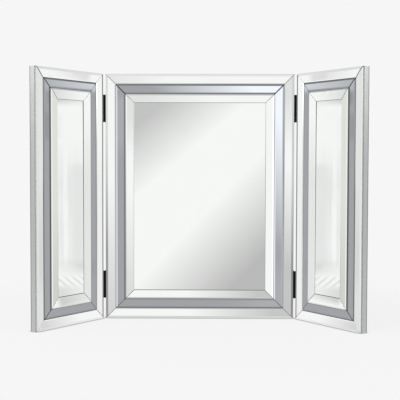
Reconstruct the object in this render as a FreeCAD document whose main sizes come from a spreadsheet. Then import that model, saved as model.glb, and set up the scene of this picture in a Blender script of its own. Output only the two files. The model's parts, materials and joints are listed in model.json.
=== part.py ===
import FreeCAD, Part
import Sketcher
import os
import re
from FreeCAD import Vector

# Three-panel folding vanity mirror. A centre panel and two hinged wings stand on their lower edges.
# Each panel is a painted board faced with three rings of mitred mirror strips round a plate mirror.
# Millimetres, X to the right, Z up, the mirrors face -Y. The origin is on the lower face of the centre
# board, in the middle of its width and of its thickness.

doc = FreeCAD.newDocument("folding_vanity_mirror")

# Driving dimensions
DIMENSIONS = (
    ("panel_height", 540.0, "height of all three panels"),
    ("center_width", 416.0, "width of the centre panel"),
    ("wing_width", 207.0, "width of each wing"),
    ("wing_open", 56.0, "degrees that each wing stands forward of flat"),
    ("board_thick", 15.0, "thickness of the painted boards"),
    ("board_round", 2.5, "radius of the boards' back edges"),
    ("rebate_margin", 12.0, "rim of board left round the back cover"),
    ("rebate_depth", 2.5, "depth of the recess for the back cover"),
    ("cover_thick", 2.0, "thickness of the back cover"),
    ("cover_play", 0.4, "gap round the back cover"),
    ("glass_inset", 0.5, "rim of board left round the glass"),
    ("glass_joint", 0.8, "gap between neighbouring pieces of glass"),
    ("outer_strip_width", 22.0, "width of the outer clear strips"),
    ("outer_strip_thick", 5.0, "outer clear strips at their ridge"),
    ("outer_strip_fall", 2.5, "fall of their face from the ridge to the grey strips"),
    ("rim_bevel_width", 5.0, "bevel of the outer strips along the rim of the panel"),
    ("rim_bevel_drop", 1.0, "glass taken off at the rim by that bevel"),
    ("grey_strip_width", 20.4, "width of the grey strips"),
    ("grey_strip_thick", 4.0, "flat face of the grey strips"),
    ("grey_bevel_width", 3.0, "bevels along both edges of the grey strips"),
    ("grey_bevel_drop", 1.0, "glass taken off at the edge by those bevels"),
    ("inner_strip_width", 18.2, "width of the inner clear strips"),
    ("inner_strip_thick", 6.0, "inner clear strips at their ridge"),
    ("inner_strip_fall", 3.0, "fall of their face from the ridge to the mirror"),
    ("inner_bevel_width", 3.0, "bevel of the inner strips beside the grey ones"),
    ("inner_bevel_drop", 1.0, "glass taken off at the edge by that bevel"),
    ("wing_outer_strip_width", 21.0, "width of the wings' outer clear strips"),
    ("wing_grey_strip_width", 18.4, "width of the wings' grey strips"),
    ("wing_inner_strip_width", 21.6, "width of the wings' inner clear strips"),
    ("mirror_thick", 2.0, "glass of the plate mirrors"),
    ("hinge_gap", 2.8, "gap between two panels lying flat"),
    ("axis_proud", 1.4, "hinge axis in front of the outer strips"),
    ("hinge_length", 60.0, "length of a butt hinge"),
    ("hinge_inset", 76.0, "end of the panel to the middle of a hinge"),
    ("leaf_thick", 1.1, "sheet of the hinge leaves"),
    ("leaf_margin", 1.5, "back of the board to the edge of a leaf"),
    ("barrel_diameter", 5.4, "outside of the hinge knuckles"),
    ("knuckle_play", 0.3, "gap between the ends of two knuckles"),
    ("notch_play", 0.4, "gap between a knuckle and the notch in the other leaf"),
    ("pin_diameter", 2.6, "hinge pin"),
    ("pin_play", 0.05, "gap between pin and knuckle, on the radius"),
    ("pin_chamfer", 0.4, "chamfer on the ends of the pin"),
    ("screw_diameter", 3.0, "shank of the hinge screws"),
    ("screw_head_diameter", 6.0, "countersunk head of the hinge screws"),
    ("screw_length", 16.0, "hinge screws, head and point included"),
    ("screw_point", 3.0, "tapered point of the screws"),
    ("screw_spacing", 20.0, "distance between the screws of a leaf"),
    ("screw_play", 0.05, "gap round the screws, on the radius"),
    ("screw_land", 0.2, "wall left under the countersunk heads"),
    ("recess_span", 3.2, "length of the arms of the cross recess"),
    ("recess_width", 0.9, "width of the arms of the cross recess"),
    ("recess_depth", 0.6, "depth of the cross recess"),
    ("hole_spare", 1.0, "depth of a screw hole past the point of the screw"),
    ("overcut", 1.0, "how far a cutting outline runs past the stock"),
)
KNUCKLES = 5
SCREWS_PER_LEAF = 3
HINGES_PER_SIDE = 2

sheet = doc.addObject("Spreadsheet::Sheet", "dimensions")
for row, (alias, size, meaning) in enumerate(DIMENSIONS, 1):
    sheet.set(f"A{row}", alias)
    sheet.set(f"B{row}", str(size))
    sheet.setAlias(f"B{row}", alias)
    sheet.set(f"C{row}", meaning)
doc.recompute()
ALIASES = {alias for alias, size, meaning in DIMENSIONS}


def in_sheet(formula):
    """The formula with every dimension's name pointing at its cell."""
    names = "|".join(ALIASES)
    return re.sub(rf"\b({names})\b", r"dimensions.\1", formula)


def value(formula):
    return float(sheet.evalExpression(in_sheet(formula)))


def bind(target, property_name, formula):
    target.setExpression(property_name, in_sheet(formula))


# Shared steps of a body: its sketches and what is made of them
bodies = []


def new_body(label, placement=None):
    body = doc.addObject("PartDesign::Body", label)
    body.Label = label
    if placement:
        bind(body, "Placement", placement)
    bodies.append(body)
    return body


def origin_feature(body, role):
    return next(feature for feature in body.Origin.OriginFeatures if feature.Role == role)


def new_sketch(body, name, plane, shift=("0", "0", "0")):
    """A sketch on one of the body's origin planes, shifted along the sketch's own x, y and normal."""
    sketch = body.newObject("Sketcher::SketchObject", f"{body.Label}_{name}")
    sketch.AttachmentSupport = [(origin_feature(body, plane), "")]
    sketch.MapMode = "FlatFace"
    for letter, formula in zip("xyz", shift):
        bind(sketch, f"AttachmentOffset.Base.{letter}", formula)
    return sketch


def hold_point(sketch, geometry, point, corner):
    """Hold a point of the sketch at its (x formula, y formula) from the sketch's origin."""
    for kind, formula in zip(("DistanceX", "DistanceY"), corner):
        constraint = Sketcher.Constraint(kind, -1, 1, geometry, point, value(formula))
        bind(sketch, f"Constraints[{sketch.addConstraint(constraint)}]", formula)


def draw_outline(sketch, corners):
    """A closed outline of straight lines through corners given as (x formula, y formula)."""
    points = [Vector(value(x), value(y), 0) for x, y in corners]
    lines = [sketch.addGeometry(Part.LineSegment(start, end), False)
             for start, end in zip(points, points[1:] + points[:1])]
    for line, following in zip(lines, lines[1:] + lines[:1]):
        sketch.addConstraint(Sketcher.Constraint("Coincident", line, 2, following, 1))
    for line, corner in zip(lines, corners):
        hold_point(sketch, line, 1, corner)


def draw_circle(sketch, center, radius):
    middle = Vector(value(center[0]), value(center[1]), 0)
    circle = sketch.addGeometry(Part.Circle(middle, Vector(0, 0, 1), value(radius)), False)
    hold_point(sketch, circle, 3, center)
    constraint = sketch.addConstraint(Sketcher.Constraint("Radius", circle, value(radius)))
    bind(sketch, f"Constraints[{constraint}]", radius)


def rectangle(left, right, bottom, top):
    return [(left, bottom), (right, bottom), (right, top), (left, top)]


def pad(body, sketch, length):
    feature = body.newObject("PartDesign::Pad", f"{sketch.Label}_pad")
    feature.Profile = sketch
    bind(feature, "Length", length)
    doc.recompute()
    return feature


def pocket(body, sketch, depth, along_normal):
    feature = body.newObject("PartDesign::Pocket", f"{sketch.Label}_pocket")
    feature.Profile = sketch
    feature.Reversed = along_normal
    bind(feature, "Length", depth)
    doc.recompute()
    return feature


def pocket_through(body, sketch):
    feature = body.newObject("PartDesign::Pocket", f"{sketch.Label}_pocket")
    feature.Profile = sketch
    feature.Type = "ThroughAll"
    feature.SideType = "Symmetric"
    doc.recompute()
    return feature


def turn(body, sketch, kind, axis):
    """A PartDesign Revolution or Groove of the sketch, a full turn round one of its own axes."""
    feature = body.newObject(f"PartDesign::{kind}", f"{sketch.Label}_turn")
    feature.Profile = sketch
    feature.ReferenceAxis = (sketch, [axis])
    feature.Angle = 360.0
    doc.recompute()
    return feature


def repeat_upward(body, features, spacing, count):
    """Copies of the given features, or of the whole body without them, one above the other."""
    pattern = body.newObject("PartDesign::LinearPattern", f"{body.Label}_pattern")
    if features:
        pattern.Originals = features
    else:
        pattern.TransformMode = "Whole shape"
    pattern.Direction = (origin_feature(body, "Z_Axis"), [""])
    pattern.Mode = "Spacing"
    bind(pattern, "Offset", spacing)
    pattern.Occurrences = count
    body.Tip = pattern
    doc.recompute()
    return pattern


# Panels: the centre one lies in the frame of the whole, each wing in a frame at the foot of its hinge axis
AXIS_X = "(center_width / 2 + hinge_gap / 2)"
AXIS_Y = "-(board_thick / 2 + outer_strip_thick + axis_proud)"
WING_FACE = "(axis_proud + outer_strip_thick)"


def hinge_frame(side, angle):
    """Placement of what is drawn round the hinge axis on one side (-1 left, 1 right)."""
    return f"placement(vector({side} * {AXIS_X}; {AXIS_Y}; 0); rotation(vector(0; 0; 1); {angle}))"


LEFT_WING_FRAME = hinge_frame(-1, "wing_open")
RIGHT_WING_FRAME = hinge_frame(1, "-wing_open")

CENTER_STRIPS = {
    "outer_strip": "outer_strip_width",
    "grey_strip": "grey_strip_width",
    "inner_strip": "inner_strip_width",
}
WING_STRIPS = {ring: f"wing_{width}" for ring, width in CENTER_STRIPS.items()}

# Each panel: its left and right edges, the front face of its board, its placement, its hinged edges and
# the widths of its strips from the edge inwards
PANELS = {
    "center": {
        "left": "-center_width / 2",
        "right": "center_width / 2",
        "face": "-board_thick / 2",
        "placement": None,
        "hinged": ("left", "right"),
        "strip_widths": CENTER_STRIPS,
    },
    "left_wing": {
        "left": "-hinge_gap / 2 - wing_width",
        "right": "-hinge_gap / 2",
        "face": WING_FACE,
        "placement": LEFT_WING_FRAME,
        "hinged": ("right",),
        "strip_widths": WING_STRIPS,
    },
    "right_wing": {
        "left": "hinge_gap / 2",
        "right": "hinge_gap / 2 + wing_width",
        "face": WING_FACE,
        "placement": RIGHT_WING_FRAME,
        "hinged": ("left",),
        "strip_widths": WING_STRIPS,
    },
}


def inward(panel, side, inset):
    """The place on X or Z that lies so far inside one edge of the panel."""
    return {
        "left": f"{panel['left']} + ({inset})",
        "right": f"{panel['right']} - ({inset})",
        "bottom": f"0 + ({inset})",
        "top": f"panel_height - ({inset})",
    }[side]


def panel_rectangle(panel, inset):
    return rectangle(*(inward(panel, side, inset) for side in ("left", "right", "bottom", "top")))


def sheet_pad(body, panel, inset, back, thickness):
    """A flat sheet as large as the panel less the inset, from its back face at Y towards the front."""
    sketch = new_sketch(body, "outline", "XZ_Plane", ("0", "0", f"-({back})"))
    draw_outline(sketch, panel_rectangle(panel, inset))
    return pad(body, sketch, thickness)


# Heights of the hinges and of their screws
HINGE_CENTERS = {"lower": "hinge_inset", "upper": "(panel_height - hinge_inset)"}
SCREW_STEPS = range(SCREWS_PER_LEAF)


def screw_height(hinge_center, step):
    return f"{hinge_center} + {step - (SCREWS_PER_LEAF - 1) / 2} * screw_spacing"


# Boards: rounded along the back, recessed for the back cover and drilled for the hinge screws
def make_board(name, panel):
    body = new_body(f"{name}_board", panel["placement"])
    back = f"{panel['face']} + board_thick"
    stock = sheet_pad(body, panel, "0", back, "board_thick")

    rounding = body.newObject("PartDesign::Fillet", f"{name}_board_rounding")
    back_edges = [f"Edge{number}" for number, edge in enumerate(stock.Shape.Edges, 1)
                  if all(abs(vertex.Y - value(back)) < 1e-6 for vertex in edge.Vertexes)]
    rounding.Base = (stock, back_edges)
    bind(rounding, "Radius", "board_round")

    rebate = new_sketch(body, "rebate", "XZ_Plane", ("0", "0", f"-({back})"))
    draw_outline(rebate, panel_rectangle(panel, "rebate_margin"))
    pocket(body, rebate, "rebate_depth", along_normal=True)

    for side in panel["hinged"]:
        holes = new_sketch(body, f"{side}_screw_holes", "YZ_Plane", ("0", "0", panel[side]))
        for center in HINGE_CENTERS.values():
            for step in SCREW_STEPS:
                place = (f"{panel['face']} + board_thick / 2", screw_height(center, step))
                draw_circle(holes, place, "screw_diameter / 2 + screw_play")
        pocket(body, holes, "screw_length - leaf_thick + hole_spare", along_normal=side == "left")


# Back covers: sheets that lie on the floor of the boards' recesses
def make_back_cover(name, panel):
    body = new_body(f"{name}_back_cover", panel["placement"])
    back = f"{panel['face']} + board_thick - rebate_depth + cover_thick"
    sheet_pad(body, panel, "rebate_margin + cover_play", back, "cover_thick")


# Mirror strips: three rings from the panel's edge inwards, each with its front, a line through points of
# (thickness, distance into the strip)
RINGS = {
    "outer_strip": (
        ("outer_strip_thick - rim_bevel_drop", "0"),
        ("outer_strip_thick", "rim_bevel_width"),
        ("outer_strip_thick - outer_strip_fall", "{width}"),
    ),
    "grey_strip": (
        ("grey_strip_thick - grey_bevel_drop", "0"),
        ("grey_strip_thick", "grey_bevel_width"),
        ("grey_strip_thick", "{width} - grey_bevel_width"),
        ("grey_strip_thick - grey_bevel_drop", "{width}"),
    ),
    "inner_strip": (
        ("inner_strip_thick - inner_bevel_drop", "0"),
        ("inner_strip_thick", "inner_bevel_width"),
        ("inner_strip_thick - inner_strip_fall", "{width}"),
    ),
}
STRIP_ENDS = {
    "top": ("left", "right"),
    "bottom": ("left", "right"),
    "left": ("bottom", "top"),
    "right": ("bottom", "top"),
}


def ring_start(panel, ring):
    """The distance from the panel's edge to a ring, or to the plate mirror inside them all."""
    start = "glass_inset"
    for outside, width in panel["strip_widths"].items():
        if outside == ring:
            break
        start = f"{start} + {width} + glass_joint"
    return start


def make_strip(name, panel, ring, side):
    """One strip of mirror glass: a bevelled section as long as the ring, cut off at 45 degrees."""
    width = panel["strip_widths"][ring]
    start = ring_start(panel, ring)
    end = f"{start} + {width}"
    level = STRIP_ENDS[side] == ("left", "right")
    mitre_gap = "glass_joint / sqrt(2)"
    body = new_body(f"{name}_{ring}_{side}", panel["placement"])

    section = [("0", start)]
    for thickness, distance in RINGS[ring]:
        section.append((thickness, f"{start} + {distance.format(width=width)}"))
    section.append(("0", end))
    corners = [(inward(panel, side, inset), f"{panel['face']} - ({depth})") for depth, inset in section]
    if level:
        corners = [(depth, height) for height, depth in corners]
    first, last = (inward(panel, other, f"{start} + {mitre_gap}") for other in STRIP_ENDS[side])
    if level:
        sketch = new_sketch(body, "section", "YZ_Plane", ("0", "0", first))
    else:
        sketch = new_sketch(body, "section", "XY_Plane", ("0", "0", first))
    draw_outline(sketch, corners)
    pad(body, sketch, f"{last} - ({first})")

    mitres = new_sketch(body, "mitres", "XZ_Plane")
    outside = f"{start} - overcut"
    inside = f"{end} + overcut"
    for other in STRIP_ENDS[side]:
        triangle = [
            (inward(panel, other, f"{outside} + {mitre_gap}"), inward(panel, side, outside)),
            (inward(panel, other, f"{inside} + {mitre_gap}"), inward(panel, side, inside)),
            (inward(panel, other, f"{outside} + {mitre_gap}"), inward(panel, side, inside)),
        ]
        if not level:
            triangle = [(across, along) for along, across in triangle]
        draw_outline(mitres, triangle)
    pocket_through(body, mitres)


# Plate mirrors: flat glass inside the innermost ring
def make_mirror(name, panel):
    body = new_body(f"{name}_mirror", panel["placement"])
    sheet_pad(body, panel, ring_start(panel, "mirror"), panel["face"], "mirror_thick")


for name, panel in PANELS.items():
    make_board(name, panel)
    make_back_cover(name, panel)
    make_mirror(name, panel)
    for ring in RINGS:
        for side in STRIP_ENDS:
            make_strip(name, panel, ring, side)


# Butt hinges, drawn round the hinge axis: the leaves lie on the panels' side faces, knuckles interleaved
KNUCKLE_LENGTH = f"hinge_length / {KNUCKLES}"
SCREW_LINE = f"({WING_FACE} + board_thick / 2)"
LEAF_BACK = f"{WING_FACE} + board_thick - leaf_margin"


def make_leaf(label, placement, toward, hinge_center, first_knuckle):
    """A leaf on the side of the axis that toward gives (-1 or 1), keeping every other knuckle."""
    body = new_body(label, placement)
    foot = f"{hinge_center} - hinge_length / 2"

    plate = new_sketch(body, "plate", "XY_Plane", ("0", "0", foot))
    edges = sorted((f"{toward} * (hinge_gap / 2 - leaf_thick)", f"{toward} * hinge_gap / 2"), key=value)
    draw_outline(plate, rectangle(*edges, "pin_diameter / 2 + pin_play", LEAF_BACK))
    pad(body, plate, "hinge_length")

    barrel = new_sketch(body, "barrel", "XY_Plane", ("0", "0", foot))
    draw_circle(barrel, ("0", "0"), "barrel_diameter / 2")
    draw_circle(barrel, ("0", "0"), "pin_diameter / 2 + pin_play")
    pad(body, barrel, "hinge_length")

    gap_height = f"{foot} + {1 - first_knuckle} * {KNUCKLE_LENGTH} - knuckle_play / 2"
    gap = new_sketch(body, "knuckle_gap", "XY_Plane", ("0", "0", gap_height))
    draw_circle(gap, ("0", "0"), "barrel_diameter / 2 + notch_play")
    gap_cut = pocket(body, gap, f"{KNUCKLE_LENGTH} + knuckle_play", along_normal=True)
    gaps = len(range(1 - first_knuckle, KNUCKLES, 2))
    repeat_upward(body, [gap_cut], f"2 * {KNUCKLE_LENGTH}", gaps)

    hole = new_sketch(body, "screw_hole", "XY_Plane", ("0", SCREW_LINE, screw_height(hinge_center, 0)))
    head_face = f"{toward} * (hinge_gap / 2 - leaf_thick)"
    head_radius = "screw_head_diameter / 2 + screw_play"
    shank_radius = "screw_diameter / 2 + screw_play"
    draw_outline(hole, [
        (head_face, "0"),
        (head_face, head_radius),
        (f"{head_face} + {toward} * (leaf_thick - screw_land)", shank_radius),
        (f"{head_face} + {toward} * (leaf_thick + overcut)", shank_radius),
        (f"{head_face} + {toward} * (leaf_thick + overcut)", "0"),
    ])
    hole_cut = turn(body, hole, "Groove", "H_Axis")
    repeat_upward(body, [hole_cut], "screw_spacing", SCREWS_PER_LEAF)


def make_pin(label, placement, hinge_center):
    body = new_body(label, placement)
    half = new_sketch(body, "half", "XZ_Plane", ("0", hinge_center, "0"))
    draw_outline(half, [
        ("0", "-hinge_length / 2"),
        ("pin_diameter / 2 - pin_chamfer", "-hinge_length / 2"),
        ("pin_diameter / 2", "-hinge_length / 2 + pin_chamfer"),
        ("pin_diameter / 2", "hinge_length / 2 - pin_chamfer"),
        ("pin_diameter / 2 - pin_chamfer", "hinge_length / 2"),
        ("0", "hinge_length / 2"),
    ])
    turn(body, half, "Revolution", "V_Axis")


def make_screws(label, placement, head_face, toward, line, both_sides):
    """All hinge screws of one panel; toward is the way that they point along X (-1 or 1)."""
    body = new_body(label, placement)
    lowest = screw_height(HINGE_CENTERS["lower"], 0)
    half = new_sketch(body, "half", "XY_Plane", ("0", line, lowest))
    draw_outline(half, [
        (head_face, "0"),
        (head_face, "screw_head_diameter / 2"),
        (f"{head_face} + {toward} * (leaf_thick - screw_land)", "screw_diameter / 2"),
        (f"{head_face} + {toward} * (screw_length - screw_point)", "screw_diameter / 2"),
        (f"{head_face} + {toward} * screw_length", "0"),
    ])
    turn(body, half, "Revolution", "H_Axis")

    recess = new_sketch(body, "recess", "YZ_Plane", (line, lowest, head_face))
    arm = "recess_span / 2"
    wall = "recess_width / 2"
    quarter = [(arm, wall), (wall, wall), (wall, arm)]
    cross = []
    for x_sign, y_sign in ((1, 1), (-1, 1), (-1, -1), (1, -1)):
        points = [(f"{x_sign} * {x}", f"{y_sign} * {y}") for x, y in quarter]
        cross += points if x_sign == y_sign else points[::-1]
    draw_outline(recess, cross)
    pocket(body, recess, "recess_depth", along_normal=toward > 0)

    repeat_upward(body, None, "screw_spacing", SCREWS_PER_LEAF)
    repeat_upward(body, None, "panel_height - 2 * hinge_inset", HINGES_PER_SIDE)
    if both_sides:
        mirrored = body.newObject("PartDesign::Mirrored", f"{label}_mirrored")
        mirrored.TransformMode = "Whole shape"
        mirrored.MirrorPlane = (origin_feature(body, "YZ_Plane"), [""])
        body.Tip = mirrored


SIDES = {"left": (-1, LEFT_WING_FRAME), "right": (1, RIGHT_WING_FRAME)}
for side, (outward, wing_frame) in SIDES.items():
    for height, hinge_center in HINGE_CENTERS.items():
        hinge = f"{side}_{height}_hinge"
        center_frame = hinge_frame(outward, "0")
        make_leaf(f"{hinge}_center_leaf", center_frame, -outward, hinge_center, first_knuckle=0)
        make_leaf(f"{hinge}_wing_leaf", wing_frame, outward, hinge_center, first_knuckle=1)
        make_pin(f"{hinge}_pin", center_frame, hinge_center)
    wing_head = f"{outward} * (hinge_gap / 2 - leaf_thick)"
    make_screws(f"{side}_wing_hinge_screws", wing_frame, wing_head, outward, SCREW_LINE, both_sides=False)
center_head = "-(center_width / 2 + leaf_thick)"
make_screws("center_hinge_screws", None, center_head, 1, "0", both_sides=True)

# Check every feature, then write one file per piece
doc.recompute()
failed = [item.Label for item in doc.Objects if {"Invalid", "Error"} & set(item.State)]
if failed:
    raise RuntimeError(f"failed objects: {failed}")
for item in doc.Objects:
    if item.TypeId in ("PartDesign::Pocket", "PartDesign::Groove"):
        if item.Shape.Volume >= item.BaseFeature.Shape.Volume:
            raise RuntimeError(f"{item.Label} cuts nothing")
for body in bodies:
    if body.Shape.isNull() or not body.Shape.isValid():
        raise RuntimeError(f"{body.Label} has no valid shape")

os.makedirs("parts", exist_ok=True)
for body in bodies:
    body.Shape.exportStep(f"parts/{body.Label}.step")
print(f"{len(bodies)} pieces, {sum(len(body.Shape.Solids) for body in bodies)} solids")
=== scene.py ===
import json
import math
import bmesh
import bpy
from mathutils import Matrix, Vector

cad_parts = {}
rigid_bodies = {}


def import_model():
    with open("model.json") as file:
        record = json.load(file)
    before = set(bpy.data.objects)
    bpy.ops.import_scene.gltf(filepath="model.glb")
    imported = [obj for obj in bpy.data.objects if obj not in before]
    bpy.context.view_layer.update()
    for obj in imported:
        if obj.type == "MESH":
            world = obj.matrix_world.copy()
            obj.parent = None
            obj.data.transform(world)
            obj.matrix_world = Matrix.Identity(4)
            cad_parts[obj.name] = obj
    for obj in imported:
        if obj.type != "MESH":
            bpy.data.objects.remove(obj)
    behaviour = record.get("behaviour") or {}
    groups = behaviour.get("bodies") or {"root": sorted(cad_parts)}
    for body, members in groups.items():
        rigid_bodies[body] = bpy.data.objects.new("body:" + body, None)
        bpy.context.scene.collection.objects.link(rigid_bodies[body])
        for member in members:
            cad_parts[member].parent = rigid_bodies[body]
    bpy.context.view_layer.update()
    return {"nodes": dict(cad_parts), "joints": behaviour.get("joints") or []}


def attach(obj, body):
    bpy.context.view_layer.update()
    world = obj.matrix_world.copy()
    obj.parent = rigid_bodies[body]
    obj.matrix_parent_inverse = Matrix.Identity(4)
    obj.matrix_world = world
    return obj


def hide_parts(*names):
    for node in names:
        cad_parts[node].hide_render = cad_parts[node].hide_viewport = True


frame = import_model()

# Boards
# Three boards of fibreboard, 15 mm thick and rounded along the back, sprayed with silver lacquer. They
# stand on their lower edges. Their fronts are primed dark and carry the glass, so they show in its joints.
MM = 0.001
BODIES = {"center": "center_panel", "left_wing": "left_wing", "right_wing": "right_wing"}
FRONT = Vector((0, -1, 0))


def panel_frame(name):
    """Where a panel is drawn: a wing lies flat beside its hinge axis before it is turned open."""
    for joint in frame["joints"]:
        if joint["child"] == BODIES[name]:
            opened = math.radians(-joint["range_deg"][0]) * joint["axis"][2]
            foot = Vector((joint["pos_m"][0], joint["pos_m"][1], 0))
            return Matrix.Translation(foot) @ Matrix.Rotation(opened, 4, "Z")
    return Matrix.Identity(4)


def flat_box(name, node):
    """The lowest and the highest corner of a CAD piece as it is drawn in its panel's frame."""
    flat = panel_frame(name).inverted()
    points = [flat @ vertex.co for vertex in frame["nodes"][node].data.vertices]
    return [Vector(end(point[axis] for point in points) for axis in range(3)) for end in (min, max)]


panels = {}
for name in BODIES:
    low, high = flat_box(name, f"{name}_board")
    panels[name] = {
        "place": panel_frame(name),
        "left": low.x,
        "right": high.x,
        "face": low.y,
        "back": high.y,
        "height": high.z,
    }


def linear(code):
    """An sRGB hex colour as linear red, green and blue, with alpha."""
    channels = [int(code[start:start + 2], 16) / 255 for start in (1, 3, 5)]
    return (*(c / 12.92 if c <= 0.04045 else ((c + 0.055) / 1.055) ** 2.4 for c in channels), 1.0)


def add_node(tree, kind, inputs=None, **settings):
    """Adds a node with its settings; each input takes a value, an output to link, or a list of outputs."""
    node = tree.nodes.new(kind)
    for setting, value in settings.items():
        setattr(node, setting, value)
    for socket, value in (inputs or {}).items():
        for source in value if isinstance(value, list) else [value]:
            if isinstance(source, bpy.types.NodeSocket):
                tree.links.new(source, node.inputs[socket])
            else:
                node.inputs[socket].default_value = value
    return node


def new_material(name):
    """An empty material, its tree and the Object coordinates that its patterns read."""
    material = bpy.data.materials.new(name)
    material.use_nodes = True
    material.node_tree.nodes.clear()
    coordinates = add_node(material.node_tree, "ShaderNodeTexCoord")
    return material, material.node_tree, coordinates.outputs["Object"]


def coat_node(node, material):
    """Gives a CAD piece its finish."""
    for slot in frame["nodes"][node].material_slots:
        slot.material = material


# Real flakes are about 0.03 mm; they are drawn coarser so that they show
SPRAY_CLOUD = 45 * MM
FLAKE = 0.6 * MM
PEEL = 1.6 * MM
FLAT_SHARE = 0.15
# Most of a noise pattern lies between these values
NOISE_LOW, NOISE_HIGH = 0.3, 0.7
# Depths in front of a board's back: the painted shade of the back rounding begins, is full, still is, and is
# gone again
SHADE_FROM, FULL_SHADE_FROM, FULL_SHADE_TO, SHADE_TO = 4 * MM, 2 * MM, 0.6 * MM, 0.1 * MM
# How far the painted shade darkens the lacquer towards the primer colour
BACK_SHADE = 0.85
PRIMER = "#4A4D4E"
# A face counts as a front above this cosine
FACING = 0.9


def lacquered_board(name):
    """Sprayed silver lacquer: a soft grey sheen with fine flake, faint orange peel and uneven spray."""
    material, tree, place = new_material(f"silver_lacquer_{name}")
    spray = add_node(tree, "ShaderNodeTexNoise", {"Vector": place, "Scale": 1 / SPRAY_CLOUD, "Detail": 3.0})
    flake = add_node(tree, "ShaderNodeTexNoise", {"Vector": place, "Scale": 1 / FLAKE, "Detail": 1.0})
    grain = add_node(tree, "ShaderNodeMath", {
        0: spray.outputs["Fac"], 1: flake.outputs["Fac"], 2: FLAT_SHARE}, operation="MULTIPLY_ADD")
    silver = add_node(tree, "ShaderNodeMix", {
        0: grain.outputs[0], 6: linear("#C3C4C3"), 7: linear("#D0D1D0")}, data_type="RGBA")
    # Painted shade: along the rounding at the back the lacquer is darkened towards the primer colour,
    # standing in for the shade of the rounded edge
    behind = panels[name]["place"].to_3x3() @ -FRONT
    back = behind.dot(panels[name]["place"] @ Vector((0, panels[name]["back"], 0)))
    depth = add_node(tree, "ShaderNodeVectorMath", {0: place, 1: behind}, operation="DOT_PRODUCT")
    shade_rise = add_node(tree, "ShaderNodeMapRange", {
        "Value": depth.outputs["Value"], "From Min": back - SHADE_FROM, "From Max": back - FULL_SHADE_FROM})
    shade_fall = add_node(tree, "ShaderNodeMapRange", {
        "Value": depth.outputs["Value"], "From Min": back - FULL_SHADE_TO, "From Max": back - SHADE_TO,
        "To Min": BACK_SHADE, "To Max": 0.0})
    wear_and_painted_shade = add_node(tree, "ShaderNodeMath", {0: shade_rise.outputs["Result"], 1: shade_fall.outputs["Result"]},
                      operation="MULTIPLY")
    silver = add_node(tree, "ShaderNodeMix", {
        0: wear_and_painted_shade.outputs[0], 6: silver.outputs[2], 7: linear(PRIMER)}, data_type="RGBA")
    # The primed front is the part of the surface that faces as the panel does
    normal = tree.nodes["Texture Coordinate"].outputs["Normal"]
    facing = add_node(tree, "ShaderNodeVectorMath", {
        0: normal, 1: panels[name]["place"].to_3x3() @ FRONT}, operation="DOT_PRODUCT")
    primed = add_node(tree, "ShaderNodeMath", {0: facing.outputs["Value"], 1: FACING},
                      operation="GREATER_THAN")
    color = add_node(tree, "ShaderNodeMix", {
        0: primed.outputs[0], 6: silver.outputs[2], 7: linear(PRIMER)}, data_type="RGBA")
    gloss = add_node(tree, "ShaderNodeMapRange", {
        "Value": spray.outputs["Fac"], "From Min": NOISE_LOW, "From Max": NOISE_HIGH,
        "To Min": 0.11, "To Max": 0.15})
    roughness = add_node(tree, "ShaderNodeMath", {0: gloss.outputs["Result"], 1: primed.outputs[0]},
                         operation="MAXIMUM")
    metal = add_node(tree, "ShaderNodeMapRange", {
        "Value": primed.outputs[0], "To Min": 0.7, "To Max": 0.0})
    peel = add_node(tree, "ShaderNodeTexNoise", {"Vector": place, "Scale": 1 / PEEL, "Detail": 1.0})
    bump = add_node(tree, "ShaderNodeBump", {
        "Height": peel.outputs["Fac"], "Strength": 0.06, "Distance": 0.01 * MM})
    surface = add_node(tree, "ShaderNodeBsdfPrincipled", {
        "Base Color": color.outputs[2], "Roughness": roughness.outputs[0],
        "Metallic": metal.outputs["Result"], "Normal": bump.outputs["Normal"]})
    add_node(tree, "ShaderNodeOutputMaterial", {"Surface": surface.outputs["BSDF"]})
    return material


for name in BODIES:
    coat_node(f"{name}_board", lacquered_board(name))

# Back covers
# A thin sheet faced with charcoal felt lies in the recess behind each board, so that the folded mirror
# doesn't scratch what it leans on. Small black pins along its rim hold it.
PIN_HEAD = 3.2 * MM
PIN_CROWN = 0.32  # radius of the flat top, as a share of the head
PIN_SIDES = 16
PIN_HEIGHT = 0.4 * MM
PIN_SPACING = 85 * MM
PIN_INSET = 6 * MM
# Real fibres are about 0.03 mm; they are drawn coarser so that they show
FIBRE = 0.9 * MM
NAP = 28 * MM
NAP_SHARE = 0.3
SCUFF = 2.2 * MM

# Needled felt: short tangled fibres, quite matt, with lighter ones catching the light
charcoal_felt, tree, place = new_material("charcoal_felt")
fibre = add_node(tree, "ShaderNodeTexNoise", {
    "Vector": place, "Scale": 1 / FIBRE, "Detail": 4.0, "Distortion": 1.2})
nap = add_node(tree, "ShaderNodeTexNoise", {"Vector": place, "Scale": 1 / NAP, "Detail": 2.0})
depth = add_node(tree, "ShaderNodeMath", {0: nap.outputs["Fac"], 1: NAP_SHARE, 2: fibre.outputs["Fac"]},
                 operation="MULTIPLY_ADD")
lit = add_node(tree, "ShaderNodeMapRange", {
    "Value": depth.outputs[0], "From Min": 0.42, "From Max": 0.88})
color = add_node(tree, "ShaderNodeMix", {
    0: lit.outputs["Result"], 6: linear("#1C1D20"), 7: linear("#45474B")}, data_type="RGBA")
bump = add_node(tree, "ShaderNodeBump", {
    "Height": fibre.outputs["Fac"], "Strength": 0.6, "Distance": 0.25 * MM})
surface = add_node(tree, "ShaderNodeBsdfPrincipled", {
    "Base Color": color.outputs[2], "Roughness": 0.95, "Specular IOR Level": 0.2,
    "Sheen Weight": 0.2, "Normal": bump.outputs["Normal"]})
add_node(tree, "ShaderNodeOutputMaterial", {"Surface": surface.outputs["BSDF"]})

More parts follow.
